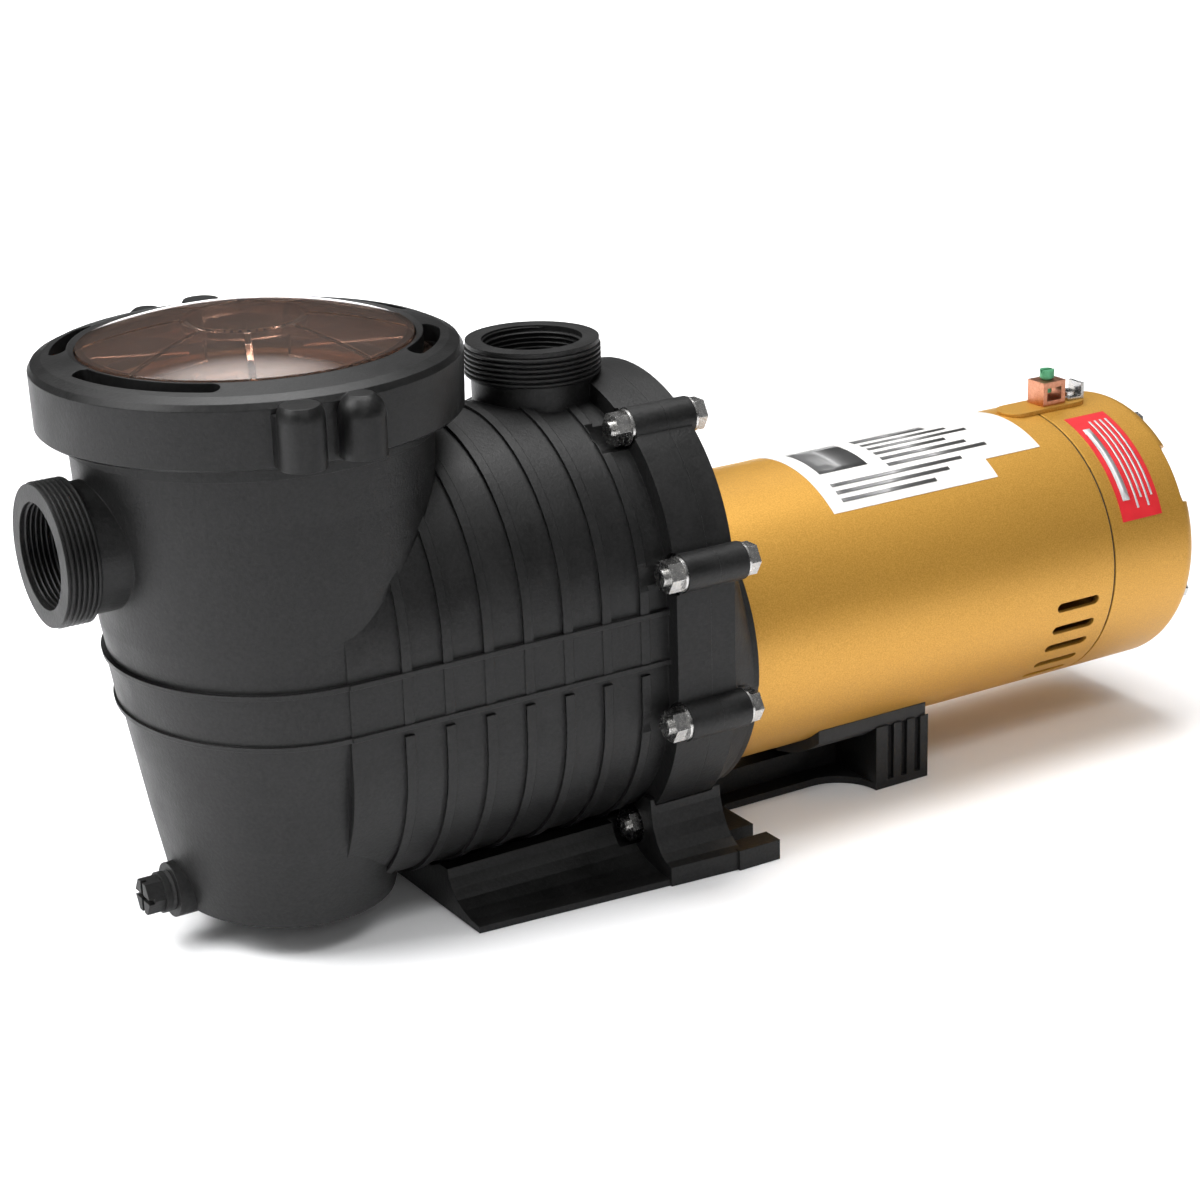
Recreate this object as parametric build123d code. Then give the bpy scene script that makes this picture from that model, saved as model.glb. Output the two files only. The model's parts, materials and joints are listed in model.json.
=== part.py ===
"""Self-priming pool pump: strainer pot, volute housing, seal plate, induction motor and mounting base.

Millimetres, +Z up, +X from the suction port towards the motor. The origin is on the floor plane,
under the axis of the discharge port.
"""
from build123d import *
import math
import os

# ---------------------------------------------------------------- driving dimensions
MOTOR_Z = 88.9            # height of the shaft above the floor (NEMA 56 frame)
POT_X = -139.0            # axis of the strainer pot
WALL = 5.0                # moulded wall of the wet end

BARREL_R = 75.0           # outer radius of the volute barrel
BARREL_LIFT = 48.0        # distance between the barrel's lower and upper arc centres
BARREL_LOW_Z = MOTOR_Z - 0.5
BARREL_END_X = 14.5
FLANGE_R = 83.0
SPLIT_X = 32.0            # joint face between housing and seal plate
PLATE_FLANGE_END_X = 44.5
LUG_END_X = 47.0
LUG_R = 8.5
BOLT_SEATS = ((43.5, 203.5), (82.8, 147.4), (84.0, 79.6), (46.3, 19.3))   # (y, z), both sides
BOLT_R = 4.0              # M8
NUT_AF = 13.0
NUT_T = 6.5
WASHER_T = 1.4

POT_BOTTOM_Z = 16.9
POT_TOP_Z = 226.0
COLLAR_R = 77.0
RAMP_R = 80.3             # bayonet ramps on the collar
RIM_Z = 242.0             # top of the pot, where the lid O-ring seals
POT_INNER_R = 66.0
BAIL_Z = 229.0            # pivot of the basket's bail
BAIL_REACH = 18.5
PIVOT_R = 1.5

BAND_LOW_Z = 105.0
BAND_HIGH_Z = 130.0
RIB_COUNT = 7
RIB_PITCH = 19.2
RIB_FIRST_X = -115.0
RIB_W = 4.5
RIB_PROUD = 1.5

PORT_R = 30.15            # 2 inch NPT male outside, 60.3 mm
PORT_BORE_R = 22.2        # 1 1/2 inch NPT female inside
PORT_THREAD_L = 15.0
PORT_NECK_R = 27.5
THREAD_PITCH = 2.2
SUCTION_X = POT_X - 96.3
SUCTION_Z = MOTOR_Z + 95.0
DISCHARGE_Y = 7.0
DISCHARGE_Z = MOTOR_Z + 146.8

DRAIN_Z = MOTOR_Z - 64.0
DRAIN_FACE_X = POT_X - 54.0
DRAIN_THREAD_R = 6.5

RING_R = 88.8
RING_LOW_Z = MOTOR_Z + 138.7
RING_TOP_Z = MOTOR_Z + 165.5
LID_R = 78.0
DOME_R = 69.0
DOME_EDGE_Z = MOTOR_Z + 170.2
DOME_CROWN_Z = DOME_EDGE_Z + 11.0
RING_TURN = -5.0          # where the two grips sit about the pot axis, from the Y axis

MOTOR_R = 67.75
MOTOR_FRONT_X = 62.0
SEAM_X = 278.2
MOTOR_REAR_X = 332.0
PLATE_RING_R = 75.6
SHELL_T = 2.0
TIE_R = 60.8              # pitch radius of the four through bolts
SHAFT_R = 7.94            # 5/8 inch shaft
RUN_FIT = 0.05            # radial clearance of a running fit

BASE_FRONT_X = -81.0
BASE_FOOT_X = 68.0
REAR_FOOT_X0 = 150.0
REAR_FOOT_X1 = 181.0
BASE_HALF_FRONT = 69.0
BASE_HALF_REAR = 82.0


# ---------------------------------------------------------------- small helpers
def rod_x(radius, x0, x1, y=0.0, z=MOTOR_Z):
    """Cylinder along X."""
    return Pos((x0 + x1) / 2, y, z) * Rot(0, 90, 0) * Cylinder(radius, abs(x1 - x0))


def tube_x(outer, inner, x0, x1, y=0.0, z=MOTOR_Z):
    return rod_x(outer, x0, x1, y, z) - rod_x(inner, x0 - 1, x1 + 1, y, z)


def rod_z(radius, z0, z1, x=0.0, y=0.0):
    """Cylinder along Z."""
    return Pos(x, y, (z0 + z1) / 2) * Cylinder(radius, abs(z1 - z0))


def tube_z(outer, inner, z0, z1, x=0.0, y=0.0):
    return rod_z(outer, z0, z1, x, y) - rod_z(inner, z0 - 1, z1 + 1, x, y)


def block(x0, x1, y0, y1, z0, z1):
    return Pos((x0 + x1) / 2, (y0 + y1) / 2, (z0 + z1) / 2) * Box(x1 - x0, y1 - y0, z1 - z0)


def hex_x(across_flats, x0, x1, y, z):
    """Hexagonal prism along X with its corners pointing sideways."""
    sketch = RegularPolygon(across_flats / 2, 6, major_radius=False, rotation=30)
    return extrude(Plane(origin=(x0, y, z), x_dir=(0, 0, 1), z_dir=(1, 0, 0)) * sketch, x1 - x0)


def around_motor(solid, angle):
    """Turn a solid about the motor axis."""
    return Pos(0, 0, MOTOR_Z) * Rot(angle, 0, 0) * Pos(0, 0, -MOTOR_Z) * solid


def about_pot(solid, angle):
    """Turn a solid about the pot axis."""
    return Pos(POT_X, 0, 0) * Rot(0, 0, angle) * Pos(-POT_X, 0, 0) * solid


def revolve_z(points, x=0.0, y=0.0):
    """Closed (radius, z) outline turned about a vertical axis."""
    face = Plane.XZ * make_face(Polyline(*points, close=True))
    return Pos(x, y, 0) * revolve(face, Axis.Z, 360)


def revolve_x(points, y=0.0, z=MOTOR_Z):
    """Closed (x, radius) outline turned about an axis along X."""
    face = Plane.XZ * make_face(Polyline(*points, close=True))
    return Pos(0, y, z) * revolve(face, Axis.X, 360)


def group(solids):
    return Compound(children=[s for s in solids])


# ---------------------------------------------------------------- wet end
def obround_face(radius, x):
    """Tall round-ended section of the barrel, across X."""
    slot = SlotCenterToCenter(BARREL_LIFT, radius * 2)
    plane = Plane(origin=(x, 0, BARREL_LOW_Z + BARREL_LIFT / 2), x_dir=(0, 0, 1), z_dir=(1, 0, 0))
    return plane * slot


def obround(radius, x0, x1):
    return extrude(obround_face(radius, x0), x1 - x0)


def pot_shell(offset):
    """Tapered strainer pot: round at the top, narrower and flatter in front towards the floor."""
    sections = (
        (POT_TOP_Z, 76.0, 76.0),
        (MOTOR_Z + 110, 74.5, 74.5),
        (MOTOR_Z + 55, 69.0, 74.0),
        (MOTOR_Z + 20, 63.0, 74.5),
        (MOTOR_Z - 33, 54.0, 66.0),
        (POT_BOTTOM_Z, 47.0, 54.0),
    )
    faces = []
    for z, half_x, half_y in sections:
        lowest = z - offset if z == POT_BOTTOM_Z else z
        faces.append(Pos(POT_X, 0, lowest) * Ellipse(half_x + offset, half_y + offset))
    return loft(faces, ruled=True)


def bolt_places():
    return [(side * y, z) for y, z in BOLT_SEATS for side in (-1, 1)]


def lugs(x0, x1):
    """One tubular lug around each flange bolt, tied into the flange."""
    solids = [rod_x(LUG_R, x0, x1, y, z) for y, z in bolt_places()]
    return solids


def threaded_spigot(length):
    """Spigot along +Z from z=-length to 0 with rolled ridges on its outside."""
    root = PORT_R - 1.3
    points = [(PORT_BORE_R - 1, -length), (root, -length)]
    z = -length + 0.4
    while z + THREAD_PITCH < -0.4:
        points += [(root, z), (PORT_R, z + 0.7), (PORT_R, z + 1.5)]
        z += THREAD_PITCH
    points += [(root, z), (PORT_R - 0.6, z + 0.3), (PORT_R - 0.6, 0), (PORT_BORE_R - 1, 0)]
    return revolve_z(points)


def suction_port():
    spigot = threaded_spigot(PORT_THREAD_L)
    spigot = Pos(SUCTION_X, 0, SUCTION_Z) * Rot(0, -90, 0) * spigot
    return spigot + rod_x(PORT_NECK_R, SUCTION_X + PORT_THREAD_L - 1, POT_X - 60, 0, SUCTION_Z)


def discharge_port():
    spigot = Pos(0, DISCHARGE_Y, DISCHARGE_Z) * threaded_spigot(PORT_THREAD_L + 1)
    neck = rod_z(PORT_NECK_R, DISCHARGE_Z - 60, DISCHARGE_Z - PORT_THREAD_L, 0, DISCHARGE_Y)
    return spigot + neck


def side_band():
    """Raised band with a lip along both edges, round the pot and along the barrel."""
    bands = []
    for proud, low, high in ((1.0, BAND_LOW_Z, BAND_HIGH_Z), (2.2, BAND_LOW_Z, BAND_LOW_Z + 2.2),
                             (2.2, BAND_HIGH_Z - 2.2, BAND_HIGH_Z)):
        outline = obround(BARREL_R + proud, POT_X, BARREL_END_X) + pot_shell(proud)
        bands.append(outline & block(POT_X - 90, 60, -95, 95, low, high))
    return bands[0] + bands[1] + bands[2]


def barrel_ribs():
    ribs = []
    for index in range(RIB_COUNT):
        x = RIB_FIRST_X + index * RIB_PITCH
        rib = obround(BARREL_R + RIB_PROUD, x, x + RIB_W)
        ribs.append(rib - block(x - 1, x + RIB_W + 1, -95, 95, BAND_LOW_Z - 3, BAND_LOW_Z + 1))
    return ribs


def pump_body():
    pot = pot_shell(0) + rod_z(COLLAR_R, POT_TOP_Z - 6, RIM_Z, POT_X)
    body = pot + obround(BARREL_R, POT_X, BARREL_END_X + 1) + obround(FLANGE_R, BARREL_END_X, SPLIT_X)
    for piece in lugs(LUG_END_X - 31, SPLIT_X) + barrel_ribs() + [side_band()]:
        body = body + piece
    body = body + suction_port() + discharge_port()
    body = body + rod_x(12.0, DRAIN_FACE_X, POT_X - 35, 0, DRAIN_Z)
    ramp = tube_z(RAMP_R, COLLAR_R - 1, 231.0, 234.0, POT_X) & block(POT_X + 60, POT_X + 90, -14, 14, 230, 235)
    for angle in (25, 115, 205, 295):
        body = body + about_pot(ramp, angle + RING_TURN)
    # hollows
    body = body - rod_z(POT_INNER_R, MOTOR_Z + 60, RIM_Z + 1, POT_X)
    body = body - tube_z(75.3, 70.3, RIM_Z - 1.3, RIM_Z + 1, POT_X)
    cavity = [Pos(POT_X, 0, z) * Ellipse(half_x, half_y) for z, half_x, half_y in (
        (MOTOR_Z + 61, 63.5, POT_INNER_R), (MOTOR_Z - 33, 48.5, 60.0), (POT_BOTTOM_Z + WALL, 41.0, 48.0))]
    body = body - loft(cavity, ruled=True)
    body = body - obround(BARREL_R - WALL, -46.0, SPLIT_X + 1)
    body = body - rod_x(24.0, POT_X + 30, -40)
    body = body - rod_x(PORT_BORE_R, SUCTION_X - 1, POT_X - 50, 0, SUCTION_Z)
    body = body - rod_z(PORT_BORE_R, DISCHARGE_Z - 60, DISCHARGE_Z + 1, 0, DISCHARGE_Y)
    body = body - rod_x(DRAIN_THREAD_R + 0.3, DRAIN_FACE_X - 1, POT_X - 30, 0, DRAIN_Z)
    body = body + tube_z(POT_INNER_R + 0.5, POT_INNER_R - 3.5, 227.0, RIM_Z - 10.4, POT_X)
    for y, z in bolt_places():
        body = body - rod_x(BOLT_R + 0.4, 0, SPLIT_X + 1, y, z)
        body = body - rod_x(9.5, BARREL_END_X - 14, LUG_END_X - 31, y, z)
    return body


def seal_plate():
    flange = obround(FLANGE_R, SPLIT_X, PLATE_FLANGE_END_X)
    ring = Plane(origin=(MOTOR_FRONT_X - 3, 0, MOTOR_Z), z_dir=(1, 0, 0)) * Circle(PLATE_RING_R)
    cover = loft([obround_face(FLANGE_R - 1, PLATE_FLANGE_END_X), ring], ruled=True)
    plate = flange + cover + rod_x(PLATE_RING_R, MOTOR_FRONT_X - 3.2, MOTOR_FRONT_X)
    for lug in lugs(SPLIT_X, LUG_END_X):
        plate = plate + lug
    # recess of the pumping chamber, seal bore, motor register and bolt holes
    plate = plate - rod_x(60.0, SPLIT_X - 1, SPLIT_X + 8)
    plate = plate - rod_x(14.5, SPLIT_X, SPLIT_X + 18) - rod_x(SHAFT_R + 2.5, SPLIT_X, MOTOR_FRONT_X + 1)
    plate = plate - rod_x(60.0, MOTOR_FRONT_X - 8, MOTOR_FRONT_X + 1)
    for y, z in bolt_places():
        plate = plate - rod_x(BOLT_R + 0.4, SPLIT_X - 1, LUG_END_X + 1, y, z)
        plate = plate - rod_x(9.5, LUG_END_X, MOTOR_FRONT_X + 1, y, z)
    for angle in (45, 135, 225, 315):
        plate = plate - around_motor(rod_x(4.5, SPLIT_X, MOTOR_FRONT_X, 0, MOTOR_Z + 50), angle)
    groove = obround(BARREL_R - WALL + 5.2, SPLIT_X - 1, SPLIT_X + 2.2)
    groove = groove - obround(BARREL_R - WALL + 0.8, SPLIT_X - 2, SPLIT_X + 3)
    return plate - groove


def housing_o_ring():
    ring = obround(BARREL_R - WALL + 5.0, SPLIT_X + 0.05, SPLIT_X + 2.1)
    return ring - obround(BARREL_R - WALL + 1.0, SPLIT_X - 1, SPLIT_X + 3)


def flange_bolts():
    bolts = []
    for y, z in bolt_places():
        head = hex_x(NUT_AF, LUG_END_X + WASHER_T, LUG_END_X + WASHER_T + 5.3, y, z)
        bolts.append(rod_x(BOLT_R, 6.0, LUG_END_X + WASHER_T + 1, y, z) + head)
    return group(bolts)


def flange_nuts():
    nuts = []
    x1 = LUG_END_X - 31 - WASHER_T
    for y, z in bolt_places():
        nut = hex_x(NUT_AF, x1 - NUT_T, x1, y, z)
        nuts.append(nut - rod_x(BOLT_R, x1 - NUT_T - 1, x1 + 1, y, z))
    return group(nuts)


def flange_washers():
    washers = []
    for y, z in bolt_places():
        for x in (LUG_END_X - 31 - WASHER_T, LUG_END_X):
            washers.append(tube_x(8.0, BOLT_R, x, x + WASHER_T, y, z))
    return group(washers)


# ---------------------------------------------------------------- strainer
def lock_ring():
    """Bayonet ring: skirt, crowned top with four finger slots, two hollow grips and four inner lugs."""
    points = (
        (DOME_R + 0.6, DOME_EDGE_Z - 1.0), (DOME_R + 3.0, DOME_EDGE_Z), (83.0, RING_TOP_Z + 2.0),
        (RING_R - 1.5, RING_TOP_Z), (RING_R, RING_TOP_Z - 2.5), (RING_R - 0.5, RING_LOW_Z + 1),
        (RING_R - 1.5, RING_LOW_Z), (RING_R - 4.5, RING_LOW_Z), (RING_R - 4.5, RING_TOP_Z - 4.5),
        (DOME_R + 0.6, RING_TOP_Z - 2.5),
    )
    ring = revolve_z(points, POT_X)
    for start, sweep_deg in ((187, 48), (308, 30), (7, 48), (128, 30)):
        ring = ring - about_pot(kidney(76.0, 7.0, sweep_deg), start)
    for angle in (90, 270):
        ring = ring + about_pot(ring_grip(), angle + RING_TURN)
    lug = tube_z(RING_R - 3, RAMP_R + 0.5, 227.6, 230.6, POT_X) & block(POT_X + 60, POT_X + 95, -11, 11, 227, 231)
    for angle in (70, 160, 250, 340):
        ring = ring + about_pot(lug, angle + RING_TURN)
    return ring


def kidney(radius, width, sweep_deg):
    """Curved slot cutter about the pot axis, starting on +X."""
    slot = tube_z(radius + width / 2, radius - width / 2, RING_TOP_Z - 8, RING_TOP_Z + 9, POT_X)
    wedge_points = [(0, 0)] + [
        (120 * math.cos(math.radians(sweep_deg * k / 3)), 120 * math.sin(math.radians(sweep_deg * k / 3)))
        for k in range(4)]
    wedge = extrude(make_face(Polyline(*wedge_points, close=True)), 40)
    slot = slot & (Pos(POT_X, 0, RING_TOP_Z - 15) * wedge)
    for turn in (0, sweep_deg):
        end = rod_z(width / 2, RING_TOP_Z - 8, RING_TOP_Z + 9, POT_X + radius)
        slot = slot + about_pot(end, turn)
    return slot


def ring_grip():
    """Two rounded thumb pads joined by a bridge, hollow underneath, on the +X side of the ring."""
    grip = None
    for y, reach, high in ((-13.0, 15.0, RING_TOP_Z - 0.5), (13.0, 12.0, RING_TOP_Z - 3.0)):
        pad = rod_z(9.5, RING_LOW_Z + 2, high - 5, POT_X + RING_R + reach - 9.5, y)
        pad = pad + Pos(POT_X + RING_R + reach - 9.5, y, high - 5) * Sphere(9.5).scale(1)
        pad = pad + block(POT_X + RING_R - 3, POT_X + RING_R + reach - 9.5, y - 9.0, y + 9.0,
                          RING_LOW_Z + 2, high - 4)
        grip = pad if grip is None else grip + pad
    grip = grip & block(POT_X + RING_R - 2.5, POT_X + 130, -40, 40, RING_LOW_Z + 1, RING_TOP_Z)
    for y, reach in ((-13.0, 15.0), (13.0, 12.0)):
        hollow = rod_z(6.5, RING_LOW_Z, RING_TOP_Z - 11, POT_X + RING_R + reach - 9.5, y)
        grip = grip - hollow
    return grip


def dome_section(top, bottom_z, radius):
    """Half section under the dome's curve, lowered by some depth, down to a flat bottom."""
    rise = DOME_CROWN_Z - DOME_EDGE_Z
    sphere_r = (DOME_R ** 2 + rise ** 2) / (2 * rise)
    ball_z = DOME_CROWN_Z - sphere_r

    def height(r):
        return ball_z + math.sqrt((sphere_r - top) ** 2 - r ** 2)

    curve = ThreePointArc((0, height(0)), (radius / 2, height(radius / 2)), (radius, height(radius)))
    sides = Polyline((radius, height(radius)), (radius, bottom_z), (0, bottom_z), (0, height(0)))
    return revolve(Plane.XZ * make_face([curve, sides]), Axis.Z, 360)


def strainer_lid():
    """Clear dome with a sealing flange, a centre ring and eight radial ribs underneath."""
    low = RIM_Z + 1.2
    dome = dome_section(0, low, DOME_R) - dome_section(3.5, low - 1, DOME_R - 4)
    dome = Pos(POT_X, 0, 0) * dome
    flange = tube_z(LID_R, DOME_R - 3.8, low, RIM_Z + 6.0, POT_X)
    ribs = tube_z(26, 23, DOME_CROWN_Z - 8, DOME_CROWN_Z, POT_X)
    for k in range(8):
        bar = block(POT_X + 24, POT_X + DOME_R - 2, -1.3, 1.3, DOME_EDGE_Z - 6, DOME_CROWN_Z)
        ribs = ribs + about_pot(bar, 22.5 + 45 * k)
    under = Pos(POT_X, 0, 0) * dome_section(1, DOME_EDGE_Z - 12, DOME_R - 1)
    return dome + flange + (ribs & under)


def lid_o_ring():
    return tube_z(75.0, 70.6, RIM_Z - 1.0, RIM_Z + 1.15, POT_X)


def strainer_basket():
    """Tapered basket with a rolled rim, slotted wall and pierced floor."""
    top_z = RIM_Z - 4.0
    floor_z = 60.0
    outline = ((44.0, floor_z), (60.0, top_z - 6), (65.3, top_z - 6), (65.3, top_z), (57.8, top_z),
               (57.8, top_z - 5), (42.0, floor_z + 2.2), (0, floor_z + 2.2), (0, floor_z))
    basket = revolve_z(outline, POT_X)
    cuts = []
    for level in range(5):
        z0 = floor_z + 12 + level * 32
        for k in range(24):
            cut = block(POT_X + 35, POT_X + 63, -2.6, 2.6, z0, z0 + 24)
            cuts.append(about_pot(cut, 15 * k))
    for radius, count in ((12, 6), (24, 12), (35, 18)):
        for k in range(count):
            hole = rod_z(2.5, floor_z - 1, floor_z + 4, POT_X + radius)
            cuts.append(about_pot(hole, 360 / count * k))
    basket = basket - cuts
    window = rod_x(23.5, POT_X - 75, POT_X - 40, 0, SUCTION_Z)
    basket = basket - window
    for side in (-1, 1):
        basket = basket + Pos(POT_X, side * 54.2, BAIL_Z) * Rot(90, 0, 0) * Cylinder(PIVOT_R, 7.6)
    return basket


def basket_handle():
    """Low bail folded flat inside the rim: two arms, a cross bar and a pivot eye at each end."""
    bail = Pos(POT_X + BAIL_REACH, 0, BAIL_Z) * Rot(90, 0, 0) * Cylinder(1.8, 105)
    for side in (-1, 1):
        bail = bail + rod_x(1.8, POT_X + 2.5, POT_X + BAIL_REACH, side * 51.5, BAIL_Z)
        bail = bail + Pos(POT_X, side * 52.5, BAIL_Z) * Rot(90, 0, 0) * Cylinder(3.4, 4.0)
        bail = bail - Pos(POT_X, side * 52.5, BAIL_Z) * Rot(90, 0, 0) * Cylinder(PIVOT_R + RUN_FIT, 6.0)
    return bail


def drain_plug():
    """Threaded plug with a cross-slotted hexagonal head."""
    x = DRAIN_FACE_X
    plug = rod_x(DRAIN_THREAD_R, x - 1, x + 11, 0, DRAIN_Z) + rod_x(9.0, x - 5.0, x - 2.2, 0, DRAIN_Z)
    plug = plug + hex_x(14.0, x - 12.5, x - 4, 0, DRAIN_Z) + rod_x(DRAIN_THREAD_R, x - 3, x, 0, DRAIN_Z)
    plug = plug - block(x - 13, x - 10.0, -10, 10, DRAIN_Z - 1.1, DRAIN_Z + 1.1)
    return plug - block(x - 13, x - 10.0, -1.1, 1.1, DRAIN_Z - 10, DRAIN_Z + 10)


def drain_o_ring():
    x = DRAIN_FACE_X
    return tube_x(8.6, DRAIN_THREAD_R + RUN_FIT, x - 2.15, x - 0.1, 0, DRAIN_Z)


# ---------------------------------------------------------------- hydraulics and seal
def diffuser():
    """Cup around the impeller: eye ring in front, closed drum wall, open at the back."""
    outline = ((-24, 20.0), (-24, 23.5), (-12, 23.5), (-8, 56.0), (SPLIT_X + 2, 56.0), (SPLIT_X + 2, 53.5),
               (-4, 53.5), (-8.5, 22.0), (-16, 20.0))
    cup = revolve_x(outline)
    for k in range(9):
        port = around_motor(block(6, 22, -7, 7, MOTOR_Z + 50, MOTOR_Z + 60), 40 * k)
        cup = cup - port
    return cup


def impeller():
    """Closed impeller: eye neck, front and back shrouds and six swept vanes."""
    front = revolve_x(((-12, 16.5), (-12, 19.5), (-2, 19.5), (6, 50.0), (8, 50.0), (1, 18.0), (-1, 16.5)))
    back = revolve_x(((18, 0), (18, 11.0), (14, 14.0), (18, 50.0), (20.5, 50.0), (20.5, 14.0), (26, 12.0),
                      (26, 0)))
    wheel = front + back
    for k in range(6):
        vane = around_motor(swept_vane(), 60 * k)
        wheel = wheel + vane
    return wheel - rod_x(SHAFT_R, 12, 27) - rod_x(4.0, -13, 30)


def swept_vane():
    start = (0, 15.0)
    mid = (16.0, 32.0)
    end = (38.0, 32.0)
    path = ThreePointArc(start, mid, end)
    vane = extrude(Plane(origin=(2.0, 0, MOTOR_Z), x_dir=(0, 1, 0), z_dir=(1, 0, 0))
                   * make_face(offset(path, 1.1, side=Side.BOTH)), 17)
    return vane


def impeller_screw():
    return rod_x(4.0, 8.0, 27.8) + hex_x(13.0, 8.0, 13.5, 0, MOTOR_Z) - block(7, 9.5, -8, 8, 88.2, 89.6)


def seal_seat():
    return tube_x(14.4, SHAFT_R + 1.2, SPLIT_X + 11.0, SPLIT_X + 17.0)


def seal_head():
    return tube_x(13.0, SHAFT_R, SPLIT_X + 6.5, SPLIT_X + 10.8)


def seal_spring():
    helix = Helix(pitch=2.6, height=7.8, radius=10.2)
    wire = Plane(origin=helix @ 0, z_dir=helix % 0) * Circle(0.8)
    coil = sweep(wire, path=helix)
    return Pos(SPLIT_X - 3.9, 0, MOTOR_Z) * Rot(0, 90, 0) * coil


# ---------------------------------------------------------------- motor
def motor_shaft():
    shaft = rod_x(SHAFT_R, 14.5, 100) + rod_x(SHAFT_R + 2, 100, 300) + rod_x(6.0, 300, 322)
    return shaft - rod_x(4.0, 13, 28)


def bearing(inner, outer, x0, x1):
    middle = (inner + outer) / 2
    rings = [tube_x(inner + 3, inner, x0, x1), tube_x(outer, outer - 3, x0, x1)]
    ball_r = (outer - inner - 6) / 2
    balls = []
    for k in range(8):
        ball = Pos((x0 + x1) / 2, 0, MOTOR_Z + middle) * Sphere(ball_r - 0.1)
        balls.append(around_motor(ball, 45 * k))
    return group(rings + balls)


def front_bearing():
    return bearing(SHAFT_R + RUN_FIT, 20.0, 76.0, 90.0)


def rear_bearing():
    return bearing(6.0 + RUN_FIT, 17.5, 303.0, 313.0)


def rotor_core():
    core = tube_x(32.0, SHAFT_R + 2, 140, 220)
    for x0, x1 in ((132, 140), (220, 228)):
        core = core + tube_x(30.0, 20.0, x0, x1)
    return core


def stator_core():
    core = tube_x(MOTOR_R - SHELL_T, 44.0, 140, 220)
    teeth = tube_x(46.0, 32.8, 140, 220)
    for k in range(24):
        slot = around_motor(block(139, 221, -2.2, 2.2, MOTOR_Z + 34, MOTOR_Z + 50), 15 * k)
        teeth = teeth - slot
    for angle in (20, 110, 200, 290):
        core = core - around_motor(rod_x(2.7, 138, 222, 0, MOTOR_Z + TIE_R), angle)
    return core + teeth


def stator_windings():
    return group([tube_x(58.0, 36.0, 119, 139.8), tube_x(58.0, 36.0, 220.2, 241)])


def motor_shell():
    return tube_x(MOTOR_R, MOTOR_R - SHELL_T, MOTOR_FRONT_X + 0.2, SEAM_X - 1.2) - vent_slots()


def vent_slots():
    """Five slots low on each side, as long as a finger joint and rounded at both ends."""
    slots = None
    for side in (-1, 1):
        for below in (9, 20, 30, 41, 51):
            slot = block(245, 266, -2.4, 2.4, MOTOR_Z + 60, MOTOR_Z + 72)
            slot = slot + rod_z(2.4, MOTOR_Z + 60, MOTOR_Z + 72, 245)
            slot = slot + rod_z(2.4, MOTOR_Z + 60, MOTOR_Z + 72, 266)
            slot = around_motor(slot, -side * (90 + below))
            slots = slot if slots is None else slots + slot
    return slots


def front_end_bell():
    """Front motor end frame: register ring, web with windows and bearing housing."""
    bell = tube_x(59.6, 50.0, MOTOR_FRONT_X - 7.8, 74)
    bell = bell + rod_x(MOTOR_R - SHELL_T - 0.1, MOTOR_FRONT_X + 0.2, 76) + rod_x(24.0, 74, 92)
    bell = bell - rod_x(20.0, 76, 93) - rod_x(SHAFT_R + 1.5, 50, 80)
    for angle in (0, 90, 180, 270):
        bell = bell - around_motor(rod_x(2.6, 50, 80, 0, MOTOR_Z + TIE_R), angle + 20)
    for angle in (45, 135, 225, 315):
        bell = bell - around_motor(rod_x(4.2, 50, 80, 0, MOTOR_Z + 50), angle)
    return bell


def rear_end_bell():
    """Rear canopy with a rounded end, a cable notch, a conduit hole and a bearing housing."""
    wall = 2.6
    r = MOTOR_R
    cup = rod_x(r, SEAM_X, MOTOR_REAR_X)
    cup = fillet(cup.edges().filter_by(GeomType.CIRCLE).sort_by(Axis.X)[-1:], 8.0)
    cup = cup - rod_x(r - wall, SEAM_X - 1, MOTOR_REAR_X - 7)
    cup = cup + tube_x(r - SHELL_T - 0.1, r - SHELL_T - 2.4, SEAM_X - 9, SEAM_X + 6)
    cup = cup + tube_x(21.0, 17.5, 303, MOTOR_REAR_X - 4)
    for angle in (30, 150, 270):
        spoke = block(303, 308, -5, 5, MOTOR_Z + 19, MOTOR_Z + r - 1)
        cup = cup + around_motor(spoke, angle)
    notch = block(MOTOR_REAR_X - 7.2, MOTOR_REAR_X + 1, -15, 15, MOTOR_Z + r - 9, MOTOR_Z + r + 2)
    cup = cup - around_motor(notch, 54)
    conduit = rod_z(11.0, MOTOR_Z + r - 10, MOTOR_Z + r + 4, 299)
    cup = cup - around_motor(conduit, -90)
    for angle in (20, 110, 200, 290):
        cup = cup - around_motor(rod_x(2.6, 280, MOTOR_REAR_X + 1, 0, MOTOR_Z + TIE_R), angle)
        cup = cup - around_motor(rod_x(5.4, MOTOR_REAR_X - 3, MOTOR_REAR_X + 1, 0, MOTOR_Z + TIE_R), angle)
    return cup


def seam_ring():
    """Narrow gasket strip in the joint between shell and rear canopy."""
    return tube_x(MOTOR_R - 0.6, MOTOR_R - SHELL_T, SEAM_X - 1.1, SEAM_X - 0.1)


def cooling_fan():
    fan = tube_x(24.0, SHAFT_R + 2, 244, 250)
    for k in range(8):
        blade = block(244, 259, -1.0, 1.0, MOTOR_Z + 20, MOTOR_Z + 54)
        fan = fan + around_motor(blade, 45 * k)
    return fan


def through_bolts():
    bolts = []
    for angle in (20, 110, 200, 290):
        bolt = rod_x(2.4, 64, MOTOR_REAR_X - 2.5, 0, MOTOR_Z + TIE_R)
        bolt = bolt + hex_x(8.0, MOTOR_REAR_X - 3, MOTOR_REAR_X + 0.4, 0, MOTOR_Z + TIE_R)
        bolts.append(around_motor(bolt, angle))
    return group(bolts)


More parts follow.
